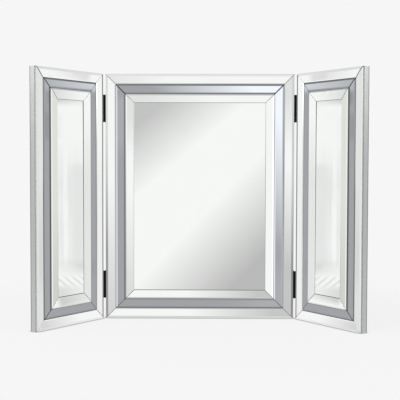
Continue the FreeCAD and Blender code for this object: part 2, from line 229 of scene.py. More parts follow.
# Black lacquered steel: deep black, a soft highlight and a few rubbed spots where the steel shows
black_steel, tree, place = new_material("black_lacquered_steel")
scuff = add_node(tree, "ShaderNodeTexNoise", {
    "Vector": place, "Scale": 1 / SCUFF, "Detail": 5.0, "Roughness": 0.65})
wear_and_painted_shade = add_node(tree, "ShaderNodeMapRange", {
    "Value": scuff.outputs["Fac"], "From Min": 0.66, "From Max": 0.74})
color = add_node(tree, "ShaderNodeMix", {
    0: wear_and_painted_shade.outputs["Result"], 6: linear("#050505"), 7: linear("#2A2928")}, data_type="RGBA")
gloss = add_node(tree, "ShaderNodeMapRange", {
    "Value": scuff.outputs["Fac"], "From Min": NOISE_LOW, "From Max": NOISE_HIGH,
    "To Min": 0.32, "To Max": 0.5})
bump = add_node(tree, "ShaderNodeBump", {
    "Height": scuff.outputs["Fac"], "Strength": 0.15, "Distance": 0.03 * MM})
surface = add_node(tree, "ShaderNodeBsdfPrincipled", {
    "Base Color": color.outputs[2], "Roughness": gloss.outputs["Result"], "Specular IOR Level": 0.07,
    "Metallic": wear_and_painted_shade.outputs["Result"], "Normal": bump.outputs["Normal"]})
add_node(tree, "ShaderNodeOutputMaterial", {"Surface": surface.outputs["BSDF"]})


def new_tree(name, inputs):
    """A geometry tree with these named inputs; returns it with its inputs' sockets."""
    tree = bpy.data.node_groups.new(name, "GeometryNodeTree")
    tree.interface.new_socket("Geometry", in_out="OUTPUT", socket_type="NodeSocketGeometry")
    for label, kind in inputs.items():
        tree.interface.new_socket(label, in_out="INPUT", socket_type=f"NodeSocket{kind}")
    return tree, tree.nodes.new("NodeGroupInput").outputs


def grow(tree, sizes, place):
    """The plain mesh that a geometry tree makes at these sizes, moved to its place."""
    carrier = bpy.data.objects.new(tree.name, bpy.data.meshes.new(tree.name))
    bpy.context.collection.objects.link(carrier)
    modifier = carrier.modifiers.new("build", "NODES")
    modifier.node_group = tree
    for item in tree.interface.items_tree:
        if item.in_out == "INPUT":
            modifier[item.identifier] = sizes[item.name]
    evaluated = carrier.evaluated_get(bpy.context.evaluated_depsgraph_get())
    mesh = bpy.data.meshes.new_from_object(evaluated)
    bpy.data.objects.remove(carrier)
    mesh.transform(place)
    return mesh


def new_piece(name, mesh, body):
    """A finished piece that moves with a body."""
    piece = bpy.data.objects.new(name, mesh)
    bpy.context.collection.objects.link(piece)
    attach(piece, body)
    return piece


# Pin heads along a rectangle: low cones on the points of its outline
pin_tree, size = new_tree("cover_pins", {
    "Width": "Float", "Height": "Float", "Spacing": "Float", "Head": "Float", "Rise": "Float",
    "Finish": "Material"})
outline = add_node(pin_tree, "GeometryNodeCurvePrimitiveQuadrilateral", {
    "Width": size["Width"], "Height": size["Height"]})
points = add_node(pin_tree, "GeometryNodeResampleCurve", {
    "Curve": outline.outputs["Curve"], "Length": size["Spacing"]}, mode="LENGTH")
radius = add_node(pin_tree, "ShaderNodeMath", {0: size["Head"], 1: 0.5}, operation="MULTIPLY")
crown = add_node(pin_tree, "ShaderNodeMath", {0: size["Head"], 1: PIN_CROWN}, operation="MULTIPLY")
head = add_node(pin_tree, "GeometryNodeMeshCone", {
    "Vertices": PIN_SIDES, "Radius Top": crown.outputs[0], "Radius Bottom": radius.outputs[0],
    "Depth": size["Rise"]})
heads = add_node(pin_tree, "GeometryNodeInstanceOnPoints", {
    "Points": points.outputs["Curve"], "Instance": head.outputs["Mesh"]})
real = add_node(pin_tree, "GeometryNodeRealizeInstances", {"Geometry": heads.outputs["Instances"]})
painted = add_node(pin_tree, "GeometryNodeSetMaterial", {
    "Geometry": real.outputs["Geometry"], "Material": size["Finish"]})
add_node(pin_tree, "NodeGroupOutput", {"Geometry": painted.outputs["Geometry"]})

for name, body in BODIES.items():
    coat_node(f"{name}_back_cover", charcoal_felt)
    low, high = flat_box(name, f"{name}_back_cover")
    middle = ((low.x + high.x) / 2, high.y, (low.z + high.z) / 2)
    # The outline lies in X and Y and its heads rise along Z, so it is turned to face backwards
    backwards = Matrix.Rotation(math.radians(-90), 4, "X")
    pins = grow(pin_tree, {
        "Width": high.x - low.x - 2 * PIN_INSET, "Height": high.z - low.z - 2 * PIN_INSET,
        "Spacing": PIN_SPACING, "Head": PIN_HEAD, "Rise": PIN_HEIGHT, "Finish": black_steel,
    }, panels[name]["place"] @ Matrix.Translation(middle) @ backwards)
    new_piece(f"{name}_cover_pins", pins, body)

# Plate mirrors
# A plain sheet of thin silvered glass in the middle of each panel, its edges ground and its corners eased
# with a stone, glued to the board a little lower than the strips round it. The joint above it is fine. The
# wings' plates lean a little away from the hinges, so that the joint there widens upwards.
PLATE_RISE = 0.4 * MM
PLATE_SPREAD = {"center": 0.4 * MM, "left_wing": 0.0, "right_wing": 0.0}
PLATE_LEAN = {"center": 0.0, "left_wing": -0.6 * MM, "right_wing": 0.6 * MM}
ARRIS = 0.3 * MM
ARRIS_STEPS = 2
ARRIS_ANGLE = 50  # degrees; shallower corners are left sharp
WIPING_MARK = 60 * MM
SPECK = 1.3 * MM
SPECK_HAZE = 0.08
GRINDING_MARK = 0.8 * MM
SMEAR = 14 * MM

# Silvered float glass: a clean reflection, a trace of green, faint wiping marks and specks of dust
clear_mirror, tree, place = new_material("silvered_float_glass")
wiped = add_node(tree, "ShaderNodeTexNoise", {
    "Vector": place, "Scale": 1 / WIPING_MARK, "Detail": 5.0, "Roughness": 0.6, "Distortion": 0.8})
dust = add_node(tree, "ShaderNodeTexNoise", {"Vector": place, "Scale": 1 / SPECK, "Detail": 2.0})
specks = add_node(tree, "ShaderNodeMapRange", {
    "Value": dust.outputs["Fac"], "From Min": 0.72, "From Max": 0.80})
color = add_node(tree, "ShaderNodeMix", {
    0: wiped.outputs["Fac"], 6: linear("#FAFBFA"), 7: linear("#F5F7F5")}, data_type="RGBA")
haze = add_node(tree, "ShaderNodeMapRange", {
    "Value": wiped.outputs["Fac"], "From Min": 0.45, "From Max": 0.75, "To Min": 0.008, "To Max": 0.03})
roughness = add_node(tree, "ShaderNodeMath", {
    0: specks.outputs["Result"], 1: SPECK_HAZE, 2: haze.outputs["Result"]}, operation="MULTIPLY_ADD")
surface = add_node(tree, "ShaderNodeBsdfPrincipled", {
    "Base Color": color.outputs[2], "Roughness": roughness.outputs[0], "Metallic": 1.0})
add_node(tree, "ShaderNodeOutputMaterial", {"Surface": surface.outputs["BSDF"]})

# Ground glass edge: dull grey-green, with grinding marks along it and a trace of the dark mastic
# Its tone is darker than the glass edge's own: painted shade deep in the joints between the strips
shaded_ground_edge, tree, place = new_material("ground_glass_edge_painted_shade")
marks = add_node(tree, "ShaderNodeTexNoise", {"Vector": place, "Scale": 1 / GRINDING_MARK, "Detail": 3.0})
smear = add_node(tree, "ShaderNodeTexNoise", {"Vector": place, "Scale": 1 / SMEAR, "Detail": 2.0})
color = add_node(tree, "ShaderNodeMix", {
    0: smear.outputs["Fac"], 6: linear("#4C524F"), 7: linear("#6C7370")}, data_type="RGBA")
bump = add_node(tree, "ShaderNodeBump", {
    "Height": marks.outputs["Fac"], "Strength": 0.4, "Distance": 0.05 * MM})
gloss = add_node(tree, "ShaderNodeMapRange", {
    "Value": marks.outputs["Fac"], "To Min": 0.4, "To Max": 0.7})
surface = add_node(tree, "ShaderNodeBsdfPrincipled", {
    "Base Color": color.outputs[2], "Roughness": gloss.outputs["Result"], "Normal": bump.outputs["Normal"]})
add_node(tree, "ShaderNodeOutputMaterial", {"Surface": surface.outputs["BSDF"]})


def ease_corners(piece):
    """Takes the sharp corners off a piece of glass, but leaves the shallow ridges of its face."""
    arris = piece.modifiers.new("arris", "BEVEL")
    arris.width = ARRIS
    arris.segments = ARRIS_STEPS
    arris.limit_method = "ANGLE"
    arris.angle_limit = math.radians(ARRIS_ANGLE)


for name, body in BODIES.items():
    low, high = flat_box(name, f"{name}_mirror")
    left, right = low.x - PLATE_SPREAD[name], high.x + PLATE_SPREAD[name]
    bottom, top = low.z, high.z + PLATE_RISE
    lean = PLATE_LEAN[name]
    mesh = bpy.data.meshes.new(f"{name}_plate")
    mesh.materials.append(clear_mirror)
    mesh.materials.append(shaded_ground_edge)
    builder = bmesh.new()
    corners = [(left - lean, bottom), (right - lean, bottom), (right + lean, top), (left + lean, top)]
    front = builder.faces.new([builder.verts.new((x, low.y, z)) for x, z in corners])
    walls = bmesh.ops.extrude_face_region(builder, geom=[front], use_keep_orig=True)
    for vertex in walls["geom"]:
        if isinstance(vertex, bmesh.types.BMVert):
            vertex.co.y = high.y
    bmesh.ops.recalc_face_normals(builder, faces=builder.faces)
    for face in builder.faces:
        face.material_index = 0 if face.normal.dot(FRONT) > FACING else 1
    builder.to_mesh(mesh)
    builder.free()
    mesh.transform(panels[name]["place"])
    plate = new_piece(f"{name}_plate", mesh, body)
    ease_corners(plate)
    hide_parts(f"{name}_mirror")

# Outer strips
# Four strips of silvered glass frame each panel, mitred at the corners and glued to the board. A ridge runs
# along them: a narrow bevel falls from it to the rim, and the broad face falls from it to the grey strips,
# where its edge is taken off at 15 degrees. On the wings the upper mitres away from the hinges gape.
JOINT = 0.8 * MM
GAPING_JOINT = 2.0 * MM
WELD = 0.001 * MM
SILVERED = 0.7  # cosine to the front; steeper faces of a strip are edges
RIM_CLOUD = 9 * MM
OUTER_GAPING = {"center": (), "left_wing": ("top left",), "right_wing": ("top right",)}
OUTER_SIZES = {
    "Outer edge": 4 * MM,
    "Outer bevel": 5 * MM,
    "Ridge": 5 * MM,
    "Far ridge": 2.79 * MM,
    "Inner bevel": 2 * MM,
    "Inner edge": 2.25 * MM,
}

# Polished rim of the glass: lighter than the ground edges in the joints, with a trace of green
rim_edge, tree, place = new_material("polished_glass_rim")
cloud = add_node(tree, "ShaderNodeTexNoise", {"Vector": place, "Scale": 1 / RIM_CLOUD, "Detail": 3.0})
color = add_node(tree, "ShaderNodeMix", {
    0: cloud.outputs["Fac"], 6: linear("#A7ABA9"), 7: linear("#C4C7C5")}, data_type="RGBA")
gloss = add_node(tree, "ShaderNodeMapRange", {
    "Value": cloud.outputs["Fac"], "To Min": 0.12, "To Max": 0.28})
surface = add_node(tree, "ShaderNodeBsdfPrincipled", {
    "Base Color": color.outputs[2], "Roughness": gloss.outputs["Result"]})
add_node(tree, "ShaderNodeOutputMaterial", {"Surface": surface.outputs["BSDF"]})

# A strip lies along Z with its rim at X 0, its back on the board at Y 0 and its face towards -Y
strip_tree, size = new_tree("mitred_strip", {
    "Start": "Float", "Width": "Float", "Length": "Float", "Low mitre": "Float", "High mitre": "Float",
    **{label: "Float" for label in OUTER_SIZES}, "Face finish": "Material", "Edge finish": "Material"})
far_ridge = add_node(strip_tree, "ShaderNodeMath", {0: size["Width"], 1: size["Inner bevel"]},
                     operation="SUBTRACT")
section = [(0.0, 0.0), (0.0, size["Outer edge"]), (size["Outer bevel"], size["Ridge"]),
           (far_ridge.outputs[0], size["Far ridge"]), (size["Width"], size["Inner edge"]),
           (size["Width"], 0.0)]
index = add_node(strip_tree, "GeometryNodeInputIndex")
corner = add_node(strip_tree, "GeometryNodeIndexSwitch", {"Index": index.outputs["Index"]},
                  data_type="VECTOR")
while len(corner.index_switch_items) < len(section):
    corner.index_switch_items.new()
for number, (inset, height) in enumerate(section):
    depth = add_node(strip_tree, "ShaderNodeMath", {0: height, 1: -1.0}, operation="MULTIPLY")
    point = add_node(strip_tree, "ShaderNodeCombineXYZ", {"X": inset, "Y": depth.outputs[0]})
    strip_tree.links.new(point.outputs[0], corner.inputs[number + 1])
polygon = add_node(strip_tree, "GeometryNodeMeshCircle", {"Vertices": len(section)}, fill_type="NGON")
end = add_node(strip_tree, "GeometryNodeSetPosition", {
    "Geometry": polygon.outputs["Mesh"], "Position": corner.outputs[0]})
along = add_node(strip_tree, "ShaderNodeCombineXYZ", {"Z": size["Length"]})
drawn = add_node(strip_tree, "GeometryNodeExtrudeMesh", {
    "Mesh": end.outputs["Geometry"], "Offset": along.outputs[0]}, mode="FACES")
other_end = add_node(strip_tree, "GeometryNodeFlipFaces", {"Mesh": end.outputs["Geometry"]})
bar = add_node(strip_tree, "GeometryNodeJoinGeometry", {
    "Geometry": [drawn.outputs["Mesh"], other_end.outputs["Mesh"]]})
closed = add_node(strip_tree, "GeometryNodeMergeByDistance", {
    "Geometry": bar.outputs["Geometry"], "Distance": WELD})
# Both ends are cut back at 45 degrees, by as much as a point lies inside the panel's edge
position = add_node(strip_tree, "GeometryNodeInputPosition")
axes = add_node(strip_tree, "ShaderNodeSeparateXYZ", {0: position.outputs["Position"]})
inside = add_node(strip_tree, "ShaderNodeMath", {0: axes.outputs["X"], 1: size["Start"]}, operation="ADD")
low_cut = add_node(strip_tree, "ShaderNodeMath", {0: inside.outputs[0], 1: size["Low mitre"]},
                   operation="ADD")
cut_off = add_node(strip_tree, "ShaderNodeMath", {0: inside.outputs[0], 1: size["High mitre"]},
                   operation="ADD")
high_cut = add_node(strip_tree, "ShaderNodeMath", {0: size["Length"], 1: cut_off.outputs[0]},
                    operation="SUBTRACT")
half = add_node(strip_tree, "ShaderNodeMath", {0: size["Length"], 1: 0.5}, operation="MULTIPLY")
upper = add_node(strip_tree, "FunctionNodeCompare", {0: axes.outputs["Z"], 1: half.outputs[0]},
                 data_type="FLOAT", operation="GREATER_THAN")
cut = add_node(strip_tree, "GeometryNodeSwitch", {
    "Switch": upper.outputs[0], "False": low_cut.outputs[0], "True": high_cut.outputs[0]},
    input_type="FLOAT")
mitred = add_node(strip_tree, "ShaderNodeCombineXYZ", {
    "X": inside.outputs[0], "Y": axes.outputs["Y"], "Z": cut.outputs[0]})
strip = add_node(strip_tree, "GeometryNodeSetPosition", {
    "Geometry": closed.outputs["Geometry"], "Position": mitred.outputs[0]})
real = add_node(strip_tree, "GeometryNodeRealizeInstances", {"Geometry": strip.outputs["Geometry"]})
edged = add_node(strip_tree, "GeometryNodeSetMaterial", {
    "Geometry": real.outputs["Geometry"], "Material": size["Edge finish"]})
normal = add_node(strip_tree, "GeometryNodeInputNormal")
facing = add_node(strip_tree, "ShaderNodeVectorMath", {0: normal.outputs["Normal"], 1: FRONT},
                  operation="DOT_PRODUCT")
silvered = add_node(strip_tree, "FunctionNodeCompare", {0: facing.outputs["Value"], 1: SILVERED},
                    data_type="FLOAT", operation="GREATER_THAN")
faced = add_node(strip_tree, "GeometryNodeSetMaterial", {
    "Geometry": edged.outputs["Geometry"], "Selection": silvered.outputs[0],
    "Material": size["Face finish"]})
add_node(strip_tree, "NodeGroupOutput", {"Geometry": faced.outputs["Geometry"]})


def lay_ring(ring, sizes, gaping, face, edge):
    """Four mitred strips round each panel, drawn from their sizes and turned to their side of it."""
    for name, body in BODIES.items():
        panel = panels[name]
        across = panel["right"] - panel["left"]
        # The wings' strips are not as wide as the centre panel's, so the CAD piece gives the width
        low, high = flat_box(name, f"{name}_{ring}_left")
        # The turn, foot and length of each side, and the corners at its strip's low and high end
        sides = {
            "left": (0, panel["left"], 0, panel["height"], "bottom left", "top left"),
            "right": (180, panel["right"], panel["height"], panel["height"], "top right", "bottom right"),
            "bottom": (-90, panel["right"], 0, across, "bottom right", "bottom left"),
            "top": (90, panel["left"], panel["height"], across, "top left", "top right"),
        }
        for side, (turn, x, z, length, *ends) in sides.items():
            foot = Matrix.Translation((x, panel["face"], z))
            turned = Matrix.Rotation(math.radians(turn), 4, "Y")
            low_joint, high_joint = (GAPING_JOINT if end in gaping[name] else JOINT for end in ends)
            mesh = grow(strip_tree, {
                **sizes, "Start": low.x - panel["left"], "Width": high.x - low.x, "Length": length,
                "Low mitre": low_joint / math.sqrt(2), "High mitre": high_joint / math.sqrt(2),
                "Face finish": face, "Edge finish": edge,
            }, panel["place"] @ foot @ turned)
            piece = new_piece(f"{name}_{ring}_{side}_glass", mesh, body)
            ease_corners(piece)
            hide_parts(f"{name}_{ring}_{side}")


lay_ring("outer_strip", OUTER_SIZES, OUTER_GAPING, clear_mirror, rim_edge)

# Grey strips
# Inside the outer strips lie four strips of smoked glass, silvered behind and mitred in the same way. Their
# flat face has a narrow polished bevel along both edges, and half of their mitres gape.
GREY_GAPING = {
    "center": ("top left", "top right"),
    "left_wing": ("top left", "bottom left"),
    "right_wing": ("top right", "bottom right"),
}
GREY_SIZES = {
    "Outer edge": 3 * MM,
    "Outer bevel": 3 * MM,
    "Ridge": 4 * MM,
    "Far ridge": 4 * MM,
    "Inner bevel": 3 * MM,
    "Inner edge": 3 * MM,
}

# Smoked float glass, silvered: the same reflection at well under half the strength, slightly blue
smoked_mirror, tree, place = new_material("smoked_silvered_glass")
wiped = add_node(tree, "ShaderNodeTexNoise", {
    "Vector": place, "Scale": 1 / WIPING_MARK, "Detail": 5.0, "Roughness": 0.6, "Distortion": 0.8})
color = add_node(tree, "ShaderNodeMix", {
    0: wiped.outputs["Fac"], 6: linear("#A5A7AA"), 7: linear("#A0A2A5")}, data_type="RGBA")
haze = add_node(tree, "ShaderNodeMapRange", {
    "Value": wiped.outputs["Fac"], "From Min": 0.45, "From Max": 0.75, "To Min": 0.008, "To Max": 0.03})
surface = add_node(tree, "ShaderNodeBsdfPrincipled", {
    "Base Color": color.outputs[2], "Roughness": haze.outputs["Result"], "Metallic": 1.0})
add_node(tree, "ShaderNodeOutputMaterial", {"Surface": surface.outputs["BSDF"]})

lay_ring("grey_strip", GREY_SIZES, GREY_GAPING, smoked_mirror, shaded_ground_edge)

# Inner strips
# The innermost four strips are clear again, thicker than the rest and glued like them. A narrow bevel faces
# the grey strips, and the broad face slopes down to the plate mirror.
INNER_SIZES = {
    "Outer edge": 5 * MM,
    "Outer bevel": 3 * MM,
    "Ridge": 6 * MM,
    "Far ridge": 3 * MM,
    "Inner bevel": 0.0,
    "Inner edge": 3 * MM,
}
INNER_GAPING = {"center": (), "left_wing": (), "right_wing": ()}
lay_ring("inner_strip", INNER_SIZES, INNER_GAPING, clear_mirror, shaded_ground_edge)

# Hinges
# Two butt hinges of black lacquered steel on each side. Their leaves are screwed to the sides of the boards,
# in the gap between the panels. Their five knuckles stand in front of the glass, held by a steel pin.
for side in ("left", "right"):
    for height in ("lower", "upper"):
        for piece in ("center_leaf", "wing_leaf", "pin"):
            coat_node(f"{side}_{height}_hinge_{piece}", black_steel)

# Hinge screws
# Countersunk steel screws with a cross recess, three to a leaf, lacquered black like the hinges. They are
# driven into the sides of the boards.
SCREW_SIZES = {
    "Head": 6 * MM,
    "Head depth": 0.9 * MM,
    "Shank": 3 * MM,
    "Shank length": 12.1 * MM,
    "Point": 3 * MM,
    "Recess span": 3.2 * MM,
    "Recess width": 0.9 * MM,
    "Recess depth": 0.6 * MM,
    "Spacing": 20 * MM,
    "Hinge inset": 76 * MM,
}
SCREW_SIDES = 24
SCREWS_PER_LEAF = 3
HINGES_PER_SIDE = 2
LEAF_THICK = 1.1 * MM
HINGED = {"center": ("left", "right"), "left_wing": ("right",), "right_wing": ("left",)}

# A screw points along +Z with the top of its head at Z 0; the rows run along X from the lower hinge up
screw_tree, size = new_tree("hinge_screws", {
    "Height": "Float", **{label: "Float" for label in SCREW_SIZES}, "Finish": "Material"})
head_radius = add_node(screw_tree, "ShaderNodeMath", {0: size["Head"], 1: 0.5}, operation="MULTIPLY")
shank_radius = add_node(screw_tree, "ShaderNodeMath", {0: size["Shank"], 1: 0.5}, operation="MULTIPLY")
head = add_node(screw_tree, "GeometryNodeMeshCone", {
    "Vertices": SCREW_SIDES, "Depth": size["Head depth"],
    "Radius Top": shank_radius.outputs[0], "Radius Bottom": head_radius.outputs[0]})
# Two crossed blocks cut the recess; half of each stands out of the head
doubled = add_node(screw_tree, "ShaderNodeMath", {0: size["Recess depth"], 1: 2.0}, operation="MULTIPLY")
arms = []
for across, long in (("Recess span", "Recess width"), ("Recess width", "Recess span")):
    arm = add_node(screw_tree, "ShaderNodeCombineXYZ", {
        "X": size[across], "Y": size[long], "Z": doubled.outputs[0]})
    arms.append(add_node(screw_tree, "GeometryNodeMeshCube", {"Size": arm.outputs[0]}).outputs["Mesh"])
recessed = add_node(screw_tree, "GeometryNodeMeshBoolean", {
    "Mesh 1": head.outputs["Mesh"], "Mesh 2": arms}, operation="DIFFERENCE")
shank = add_node(screw_tree, "GeometryNodeMeshCone", {
    "Vertices": SCREW_SIDES, "Depth": size["Shank length"],
    "Radius Top": shank_radius.outputs[0], "Radius Bottom": shank_radius.outputs[0]})
behind_head = add_node(screw_tree, "ShaderNodeCombineXYZ", {"Z": size["Head depth"]})
shank_set = add_node(screw_tree, "GeometryNodeTransform", {
    "Geometry": shank.outputs["Mesh"], "Translation": behind_head.outputs[0]})
tip = add_node(screw_tree, "GeometryNodeMeshCone", {
    "Vertices": SCREW_SIDES, "Depth": size["Point"],
    "Radius Top": 0.0, "Radius Bottom": shank_radius.outputs[0]})
tip_height = add_node(screw_tree, "ShaderNodeMath", {0: size["Head depth"], 1: size["Shank length"]},
                      operation="ADD")
behind_shank = add_node(screw_tree, "ShaderNodeCombineXYZ", {"Z": tip_height.outputs[0]})
tip_set = add_node(screw_tree, "GeometryNodeTransform", {
    "Geometry": tip.outputs["Mesh"], "Translation": behind_shank.outputs[0]})
screw = add_node(screw_tree, "GeometryNodeJoinGeometry", {"Geometry": [
    recessed.outputs["Mesh"], shank_set.outputs["Geometry"], tip_set.outputs["Geometry"]]})
first = add_node(screw_tree, "ShaderNodeMath", {0: size["Hinge inset"], 1: size["Spacing"]},
                 operation="SUBTRACT")
start = add_node(screw_tree, "ShaderNodeCombineXYZ", {"X": first.outputs[0]})
step = add_node(screw_tree, "ShaderNodeCombineXYZ", {"X": size["Spacing"]})
row = add_node(screw_tree, "GeometryNodeMeshLine", {
    "Count": SCREWS_PER_LEAF, "Start Location": start.outputs[0], "Offset": step.outputs[0]})
both_insets = add_node(screw_tree, "ShaderNodeMath", {0: size["Hinge inset"], 1: -2.0, 2: size["Height"]},
                       operation="MULTIPLY_ADD")
between = add_node(screw_tree, "ShaderNodeCombineXYZ", {"X": both_insets.outputs[0]})
hinges = add_node(screw_tree, "GeometryNodeMeshLine", {
    "Count": HINGES_PER_SIDE, "Offset": between.outputs[0]})
rows = add_node(screw_tree, "GeometryNodeInstanceOnPoints", {
    "Points": hinges.outputs["Mesh"], "Instance": row.outputs["Mesh"]})
places = add_node(screw_tree, "GeometryNodeRealizeInstances", {"Geometry": rows.outputs["Instances"]})
driven = add_node(screw_tree, "GeometryNodeInstanceOnPoints", {
    "Points": places.outputs["Geometry"], "Instance": screw.outputs["Geometry"]})
real = add_node(screw_tree, "GeometryNodeRealizeInstances", {"Geometry": driven.outputs["Instances"]})
painted = add_node(screw_tree, "GeometryNodeSetMaterial", {
    "Geometry": real.outputs["Geometry"], "Material": size["Finish"]})
add_node(screw_tree, "NodeGroupOutput", {"Geometry": painted.outputs["Geometry"]})

for name, body in BODIES.items():
    panel = panels[name]
    builder = bmesh.new()
    for side in HINGED[name]:
        inward = 1 if side == "left" else -1
        head_top = (panel[side] - inward * LEAF_THICK, (panel["face"] + panel["back"]) / 2, 0)
        # Columns: where the tree's X, Y and Z come to lie; X runs up the panel and Z into the board
        turned = Matrix(((0, 0, inward), (0, -inward, 0), (1, 0, 0))).to_4x4()
        mesh = grow(screw_tree, {**SCREW_SIZES, "Height": panel["height"], "Finish": black_steel},
                    panel["place"] @ Matrix.Translation(head_top) @ turned)
        builder.from_mesh(mesh)
    screws = bpy.data.meshes.new(f"{name}_screws")
    screws.materials.append(black_steel)
    builder.to_mesh(screws)
    builder.free()
    piece = new_piece(f"{name}_screws", screws, body)
    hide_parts(f"{name}_hinge_screws")

# Table top
# A plain white surface under the mirror that keeps a faint soft shadow and a painted shadow at its foot, and
# runs out into the background. The mirrors see the studio in its place.
WHITE = "#F6F6F6"
# Metres from the middle: the top begins to fade out, has faded out, and ends
CLEAR_FROM = 0.45
CLEAR_TO = 0.85
TABLE = 1.2
GROUND_SHARE = 0.88
FOOT_SHADOW = 10 * MM
PAINTED_SHADOW_TONE = "#B0B0B0"
# Shares of open sky: the painted foot shadow is full at the first and gone at the second
FOOT_DARK, FOOT_CLEAR = 0.5, 0.95

white_top, tree, place = new_material("white_table_top")
distance = add_node(tree, "ShaderNodeVectorMath", {0: place}, operation="LENGTH")
fade = add_node(tree, "ShaderNodeMapRange", {
    "Value": distance.outputs["Value"], "From Min": CLEAR_FROM, "From Max": CLEAR_TO},
    interpolation_type="SMOOTHSTEP")
paint = add_node(tree, "ShaderNodeBsdfDiffuse", {"Color": linear(WHITE)})
# Most of the shadow is lost on the white top, so the camera sees plain white there too. At the mirror's foot
# it sees a painted shadow instead, darker where ambient occlusion finds less open sky
open_sky = add_node(tree, "ShaderNodeAmbientOcclusion", {"Distance": FOOT_SHADOW}, samples=8)
clear = add_node(tree, "ShaderNodeMapRange", {
    "Value": open_sky.outputs["AO"], "From Min": FOOT_DARK, "From Max": FOOT_CLEAR})
painted_foot_shadow = add_node(tree, "ShaderNodeMix", {
    0: clear.outputs["Result"], 6: linear(PAINTED_SHADOW_TONE), 7: linear(WHITE)}, data_type="RGBA")
ground = add_node(tree, "ShaderNodeEmission", {"Color": painted_foot_shadow.outputs[2], "Strength": 1.0})
ray = add_node(tree, "ShaderNodeLightPath")
washed = add_node(tree, "ShaderNodeMath", {0: ray.outputs["Is Camera Ray"], 1: GROUND_SHARE},
                  operation="MULTIPLY")
top = add_node(tree, "ShaderNodeMixShader", {
    0: washed.outputs[0], 1: paint.outputs["BSDF"], 2: ground.outputs["Emission"]})
nothing = add_node(tree, "ShaderNodeBsdfTransparent")
surface = add_node(tree, "ShaderNodeMixShader", {
    0: fade.outputs["Result"], 1: top.outputs["Shader"], 2: nothing.outputs["BSDF"]})
add_node(tree, "ShaderNodeOutputMaterial", {"Surface": surface.outputs["Shader"]})
mesh = bpy.data.meshes.new("table_top")
builder = bmesh.new()
bmesh.ops.create_grid(builder, x_segments=1, y_segments=1, size=TABLE)
builder.to_mesh(mesh)
builder.free()
mesh.materials.append(white_top)
table_top = bpy.data.objects.new("table_top", mesh)
bpy.context.collection.objects.link(table_top)

# Studio
# A white tent with graded cards and softboxes surrounds the mirror, and the glass shows them. The
# photograph's mirrors don't show each other, so the pieces are hidden from mirror rays.
UP, DOWN, LEFT, RIGHT = 90, 270, 180, 0
SOFT_EDGE = 0.5
SOFT_LIGHT = 0.72
TENT_MIDDLE = -0.55
FOLDS = (3.2, 0.14, 1.0)  # cycles per degree across and up
STRIPE_TURN = -50
# Windows of the tent in degrees: from and to in azimuth, or to either side of its middle, and in elevation
ANYWHERE = (-181, 181, -91, 91)
LEFT_POST = (-30, -27.5, -12, 8)
LEFT_SLIT = (-42.36, -40.5, -20, 15)
GREY_VIEW = (-6.2, 6.2, -9.6, 5.9)
PLATE_VIEW = (-4.95, 3.85, -8.3, 4.05)
WING_PLATE = (102.75, 105.0)
FAR_WALL = (112, 120.4, -12, 8)
LIT_WALL = (52, 82.5, -40, 30)

for piece in bpy.data.objects:
    piece.visible_glossy = False

world = bpy.data.worlds.new("studio")
world.use_nodes = True
bpy.context.scene.world = world
tree = world.node_tree
tree.nodes.clear()
coordinates = add_node(tree, "ShaderNodeTexCoord")
toward = add_node(tree, "ShaderNodeSeparateXYZ", {0: coordinates.outputs["Generated"]})
ahead = add_node(tree, "ShaderNodeMath", {0: toward.outputs["Y"], 1: -1.0}, operation="MULTIPLY")
turned = add_node(tree, "ShaderNodeMath", {0: toward.outputs["X"], 1: ahead.outputs[0]},
                  operation="ARCTAN2")
raised = add_node(tree, "ShaderNodeMath", {0: toward.outputs["Z"]}, operation="ARCSINE")
azimuth = add_node(tree, "ShaderNodeMath", {0: turned.outputs[0]}, operation="DEGREES").outputs[0]
elevation = add_node(tree, "ShaderNodeMath", {0: raised.outputs[0]}, operation="DEGREES").outputs[0]
from_middle = add_node(tree, "ShaderNodeMath", {0: azimuth, 1: TENT_MIDDLE}, operation="SUBTRACT")
aside = add_node(tree, "ShaderNodeMath", {0: from_middle.outputs[0]}, operation="ABSOLUTE").outputs[0]


def hang_card(behind, edge, heading, run, tone, window=ANYWHERE, around=azimuth, strength=1.0,
              pattern=None):
    """Puts a graded card in front of what is seen so far. Angles are degrees of azimuth and elevation as
    the mirror sees them: the card starts at a point of its edge and reaches its tone over its run. A
    pattern thins it out."""
    sight = add_node(tree, "ShaderNodeCombineXYZ", {"X": around, "Y": elevation})
    from_edge = add_node(tree, "ShaderNodeVectorMath", {0: sight.outputs[0], 1: (*edge, 0)},
                         operation="SUBTRACT")
    course = (math.cos(math.radians(heading)), math.sin(math.radians(heading)), 0)
    depth = add_node(tree, "ShaderNodeVectorMath", {0: from_edge.outputs[0], 1: course},
                     operation="DOT_PRODUCT")
    amount = add_node(tree, "ShaderNodeMapRange", {
        "Value": depth.outputs["Value"], "From Max": run}).outputs["Result"]
    for angle, low, high in ((around, *window[:2]), (elevation, *window[2:])):
        for bound, sign in ((low, 1), (high, -1)):
            within = add_node(tree, "ShaderNodeMapRange", {
                "Value": angle, "From Min": bound - sign * SOFT_EDGE / 2,
                "From Max": bound + sign * SOFT_EDGE / 2}, interpolation_type="SMOOTHSTEP")
            amount = add_node(tree, "ShaderNodeMath", {0: amount, 1: within.outputs["Result"]},
                              operation="MULTIPLY").outputs[0]
    if pattern:
        amount = add_node(tree, "ShaderNodeMath", {0: amount, 1: pattern}, operation="MULTIPLY").outputs[0]
    color = tuple(channel * strength for channel in linear(tone))
    return add_node(tree, "ShaderNodeMix", {0: amount, 6: behind, 7: color}, data_type="RGBA").outputs[2]


# The tent with its dimmer ceiling and floor
seen = linear("#FCFCFC")
seen = hang_card(seen, (0, 16), UP, 30, "#C8C8C8")
seen = hang_card(seen, (0, -21), DOWN, 14, "#D0D0D0")
